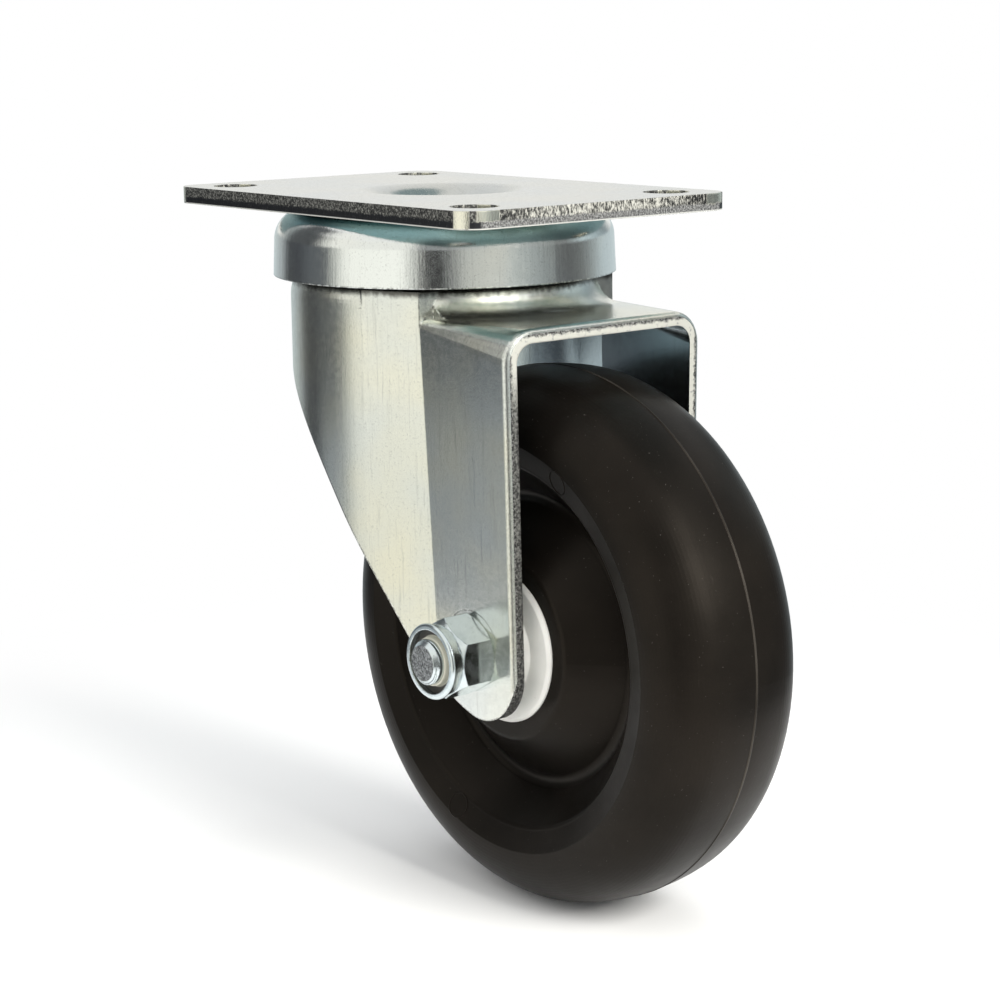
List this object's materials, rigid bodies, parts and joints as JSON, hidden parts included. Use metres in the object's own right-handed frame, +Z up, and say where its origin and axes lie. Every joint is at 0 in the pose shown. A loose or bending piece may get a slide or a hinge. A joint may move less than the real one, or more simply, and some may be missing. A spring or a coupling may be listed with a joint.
{
  "type": "swivel castor",
  "caption": "Swivel castor with a rectangular top plate, pressed steel fork, double ball bearing and solid polymer wheel on a bolted axle.",
  "frame": {"origin": "on the swivel axis, in the mounting face of the top plate, at the centre of its hole pattern", "axes": "+Z up out of the mounting face, +X the way the wheel is offset, which is the open front of the fork, Y along the axle"},
  "size_m": [0.131, 0.0659, 0.13],
  "materials": {
    "plate_zinc": "satin zinc",
    "cup_zinc": "satin zinc, drawn sheet",
    "fork_zinc": "satin zinc, drawn sheet",
    "fastener_zinc": "bright zinc",
    "race_steel": "greased steel",
    "ball_steel": "polished steel",
    "wheel_polymer": "satin black moulded polymer",
    "bush_nylon": "warm white nylon",
    "insert_nylon": "pale nylon"
  },
  "bodies": {
    "mount": {"top_plate": "plate_zinc", "bearing_cup": "cup_zinc", "kingpin": "fastener_zinc", "lower_race": "race_steel"},
    "upper_ball_ring": {"upper_balls": "ball_steel"},
    "lower_ball_ring": {"lower_balls": "ball_steel"},
    "swivel_fork": {"fork": "fork_zinc", "axle_sleeve": "fastener_zinc", "axle_bolt": "fastener_zinc", "axle_nut": "fastener_zinc", "nut_insert": "insert_nylon"},
    "road_wheel": {"wheel": "wheel_polymer", "near_bush": "bush_nylon", "far_bush": "bush_nylon"}
  },
  "joints": [
    {"name": "swivel", "type": "hinge", "parent": "mount", "child": "swivel_fork", "pos_m": [0, 0, 0], "axis": [0, 0, 1], "continuous": true},
    {"name": "upper_ball_roll", "type": "hinge", "parent": "mount", "child": "upper_ball_ring", "pos_m": [0, 0, 0], "axis": [0, 0, 1], "continuous": true},
    {"name": "lower_ball_roll", "type": "hinge", "parent": "mount", "child": "lower_ball_ring", "pos_m": [0, 0, 0], "axis": [0, 0, 1], "continuous": true},
    {"name": "wheel_spin", "type": "hinge", "parent": "swivel_fork", "child": "road_wheel", "pos_m": [0.0345, 0, -0.08], "axis": [0, 1, 0], "continuous": true}
  ],
  "couplings": [
    {"joint": "upper_ball_roll", "follows": "swivel", "ratio": 0.5},
    {"joint": "lower_ball_roll", "follows": "swivel", "ratio": 0.5}
  ]
}
